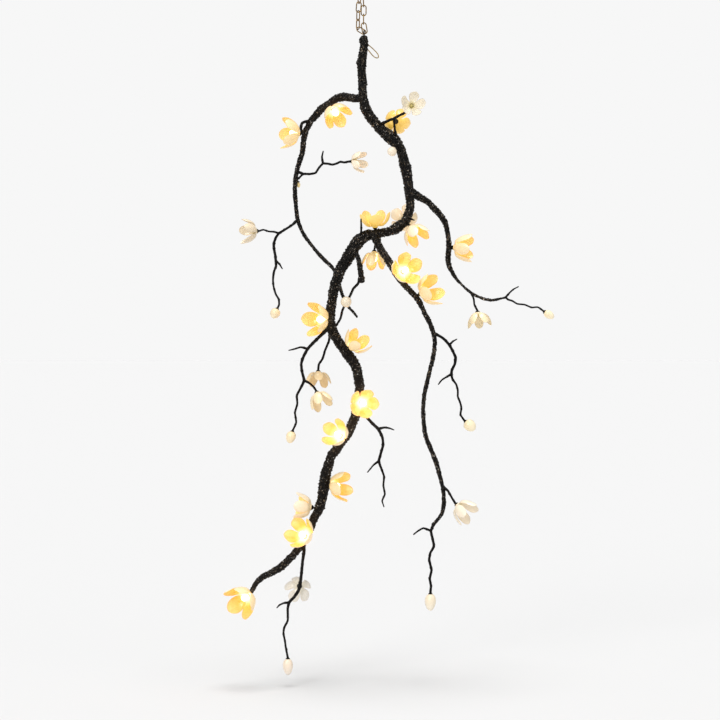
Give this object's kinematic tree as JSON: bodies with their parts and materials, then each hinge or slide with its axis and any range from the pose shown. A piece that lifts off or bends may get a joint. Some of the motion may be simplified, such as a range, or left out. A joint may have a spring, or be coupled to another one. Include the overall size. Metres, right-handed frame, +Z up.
{
  "type": "branch chandelier",
  "caption": "Chandelier shaped as a blossoming branch: dark bark-textured limbs and twigs with lit porcelain magnolias and buds, hung from a doubled chain",
  "frame": {"origin": "middle of the mounting bar's top face, on the ceiling plane", "axes": "+Z up, +X to the right and +Y to the back of the view in the picture"},
  "size_m": [0.8567, 0.2715, 1.8599],
  "materials": {
    "antique_brass": "aged, darkened in the bends, satin",
    "zinc_steel": "zinc plated",
    "driver_plastic": "fine matt texture",
    "lit_porcelain": "thin glazed porcelain, glowing yellow to orange",
    "cream_porcelain": "thin glazed porcelain, cream with tan rims",
    "lamp_glass": "frosted lamp globe, lit",
    "holder_ceramic": "unglazed steatite",
    "gold_lead": "woven gold sheath",
    "harness_silicone": "smooth insulation",
    "black_twig_metal": "smooth blackened",
    "bark_bronze": "bark relief, blackened with bronze wear"
  },
  "bodies": {
    "ceiling_fitting": {"ceiling_canopy": "antique_brass", "mounting_bar": "zinc_steel", "threaded_nipple": "antique_brass", "nipple_nuts": "antique_brass", "canopy_loop": "antique_brass", "led_driver": "driver_plastic"},
    "ring": {"top_ring": "antique_brass"},
    "chain": {"chain_left_strand": "antique_brass", "chain_right_strand": "antique_brass"},
    "branches": {"calyx_cups": "black_twig_metal", "crossing_twig": "black_twig_metal", "end_twig": "black_twig_metal", "flower_aa": "lit_porcelain", "flower_bb": "lit_porcelain", "flower_buds": "cream_porcelain", "flower_cc": "lit_porcelain", "flower_f1": "lit_porcelain", "flower_f2": "lit_porcelain", "flower_hh": "lit_porcelain", "flower_j": "lit_porcelain", "flower_jj": "lit_porcelain", "flower_k": "lit_porcelain", "flower_ll": "lit_porcelain", "flower_mm": "lit_porcelain", "flower_nn": "lit_porcelain", "flower_oo": "lit_porcelain", "flower_q": "lit_porcelain", "flower_v": "lit_porcelain", "flower_w": "lit_porcelain", "flower_y": "lit_porcelain", "flower_z": "lit_porcelain", "lamp_holders": "holder_ceramic", "lead_loop": "gold_lead", "led_lamps": "lamp_glass", "left_arm": "bark_bronze", "left_arm_twigs": "black_twig_metal", "left_hanging_twig": "black_twig_metal", "lower_gland": "black_twig_metal", "lower_left_twig": "black_twig_metal", "lower_right_branch": "bark_bronze", "lower_right_twigs": "black_twig_metal", "lower_trunk": "bark_bronze", "middle_trunk": "bark_bronze", "right_arm": "bark_bronze", "right_branch": "bark_bronze", "right_branch_twigs": "black_twig_metal", "spur_twigs": "black_twig_metal", "stem": "bark_bronze", "stem_eye": "black_twig_metal", "stub_branch": "bark_bronze", "trunk_end": "bark_bronze", "trunk_twig": "black_twig_metal", "unlit_flowers_lower": "cream_porcelain", "unlit_flowers_right": "cream_porcelain", "unlit_flowers_upper": "cream_porcelain", "upper_gland": "black_twig_metal", "upper_right_twig": "black_twig_metal", "wiring_harness": "harness_silicone"}
  },
  "joints": [
    {"name": "ring_swing", "type": "hinge", "parent": "ceiling_fitting", "child": "ring", "pos_m": [0, 0, -0.0574], "axis": [1, 0, 0], "range_deg": [-10, 10]},
    {"name": "chain_swing", "type": "hinge", "parent": "ring", "child": "chain", "pos_m": [0, 0, -0.0809], "axis": [0, 1, 0], "range_deg": [-10, 10]},
    {"name": "stem_nod", "type": "hinge", "parent": "chain", "child": "branches", "pos_m": [0.0016, 0, -0.1946], "axis": [1, 0, 0], "range_deg": [-8, 8]}
  ]
}
